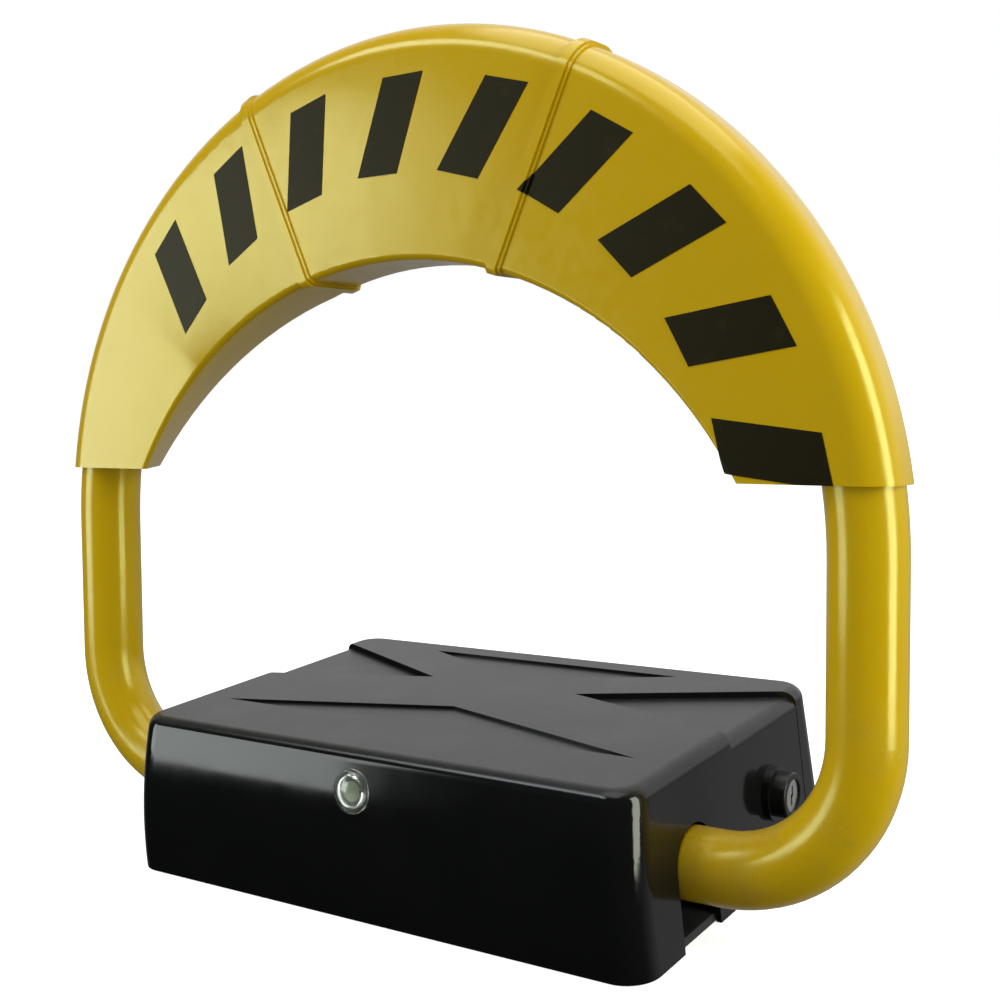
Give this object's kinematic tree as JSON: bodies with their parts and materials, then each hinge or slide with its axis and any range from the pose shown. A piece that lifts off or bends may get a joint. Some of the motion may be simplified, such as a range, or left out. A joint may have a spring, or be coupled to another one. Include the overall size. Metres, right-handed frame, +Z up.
{
  "type": "folding parking lock",
  "caption": "Parking barrier: a tube hoop with a crescent head is hinged across a low covered base and folds back to lie around it.",
  "frame": {"origin": "on the ground, under the centre of the base's footprint", "axes": "+X along the hinge towards the key lock, +Y to the rear, away from the lamp, +Z up; hoop raised"},
  "size_m": [0.556, 0.2388, 0.4753],
  "materials": {
    "yellow_paint": "gloss powder coat",
    "black_film": "satin film",
    "cover_plastic": "gloss front, fine textured lid",
    "plate_steel": "black coat",
    "zinc_screws": "zinc plated",
    "cast_bearing": "as cast",
    "white_nylon": "natural nylon",
    "gear_steel": "machined, oiled",
    "motor_steel": "plated",
    "black_plastic": "moulded",
    "brass_tabs": "bright",
    "rubber_pad": "matte",
    "spring_steel": "bright strip",
    "battery_case": "moulded",
    "grey_box": "moulded",
    "green_board": "solder resist",
    "red_wire": "insulated wire",
    "clear_lens": "clear, faceted inside",
    "reflector_chrome": "metallised",
    "lock_chrome": "bright"
  },
  "bodies": {
    "base": {"base_plate": "plate_steel", "top_cover": "cover_plastic", "cover_brackets": "plate_steel", "cover_screws": "zinc_screws", "left_bearing_pedestal": "cast_bearing", "right_bearing_pedestal": "cast_bearing", "left_bearing_cap": "cast_bearing", "right_bearing_cap": "cast_bearing", "left_bearing_bush": "white_nylon", "right_bearing_bush": "white_nylon", "bearing_screws": "zinc_screws", "motor_bracket": "plate_steel", "gearhead": "motor_steel", "gearhead_screws": "zinc_screws", "motor_can": "motor_steel", "motor_end_cap": "black_plastic", "motor_terminals": "brass_tabs", "raised_stop_post": "plate_steel", "folded_stop_post": "plate_steel", "raised_stop_bumper": "rubber_pad", "folded_stop_bumper": "rubber_pad", "switch_plate": "plate_steel", "raised_switch_body": "black_plastic", "folded_switch_body": "black_plastic", "battery_pack": "battery_case", "battery_terminals": "brass_tabs", "battery_strap": "plate_steel", "control_box": "grey_box", "control_box_lid": "grey_box", "control_board": "green_board", "antenna": "black_plastic", "buzzer": "black_plastic", "battery_wire": "red_wire", "motor_wire": "red_wire", "lamp_lens": "clear_lens", "lamp_barrel": "black_plastic", "lamp_reflector": "reflector_chrome", "lamp_board": "green_board", "lamp_nut": "black_plastic", "lock_body": "black_plastic", "lock_nut": "lock_chrome", "lock_keeper": "plate_steel"},
    "hoop": {"hoop_lower_tube": "yellow_paint", "hoop_arch_tube": "yellow_paint", "hoop_sleeves": "plate_steel", "head_front_shell": "yellow_paint", "head_rear_shell": "yellow_paint", "head_spacers": "plate_steel", "head_screws": "zinc_screws", "hazard_marks": "black_film", "output_gear": "gear_steel", "gear_key_pin": "zinc_screws", "stop_collar": "gear_steel", "switch_cam": "gear_steel"},
    "pinion": {"drive_pinion": "gear_steel"},
    "raised_lever": {"raised_switch_lever": "spring_steel"},
    "folded_lever": {"folded_switch_lever": "spring_steel"},
    "lock_core": {"lock_plug": "lock_chrome", "lock_cam": "lock_chrome", "lock_cam_screw": "zinc_screws"}
  },
  "joints": [
    {"name": "hoop_fold", "type": "hinge", "parent": "base", "child": "hoop", "pos_m": [0, -0.053, 0.04], "axis": [-1, 0, 0], "range_deg": [0, 85]},
    {"name": "pinion_turn", "type": "hinge", "parent": "base", "child": "pinion", "pos_m": [0.062, -0.009, 0.04], "axis": [-1, 0, 0], "range_deg": [-228, 1]},
    {"name": "raised_lever_press", "type": "hinge", "parent": "base", "child": "raised_lever", "pos_m": [-0.0875, -0.07977, 0.05589], "axis": [1, 0, 0], "range_deg": [0, 6], "stiffness_Nm_per_rad": 0.01},
    {"name": "folded_lever_press", "type": "hinge", "parent": "base", "child": "folded_lever", "pos_m": [-0.0875, -0.02623, 0.05589], "axis": [-1, 0, 0], "range_deg": [0, 6], "stiffness_Nm_per_rad": 0.01},
    {"name": "key_turn", "type": "hinge", "parent": "base", "child": "lock_core", "pos_m": [0.16, 0.043, 0.046], "axis": [-1, 0, 0], "range_deg": [0, 90]}
  ],
  "couplings": [
    {"joint": "pinion_turn", "follows": "hoop_fold", "ratio": -2.6667}
  ]
}
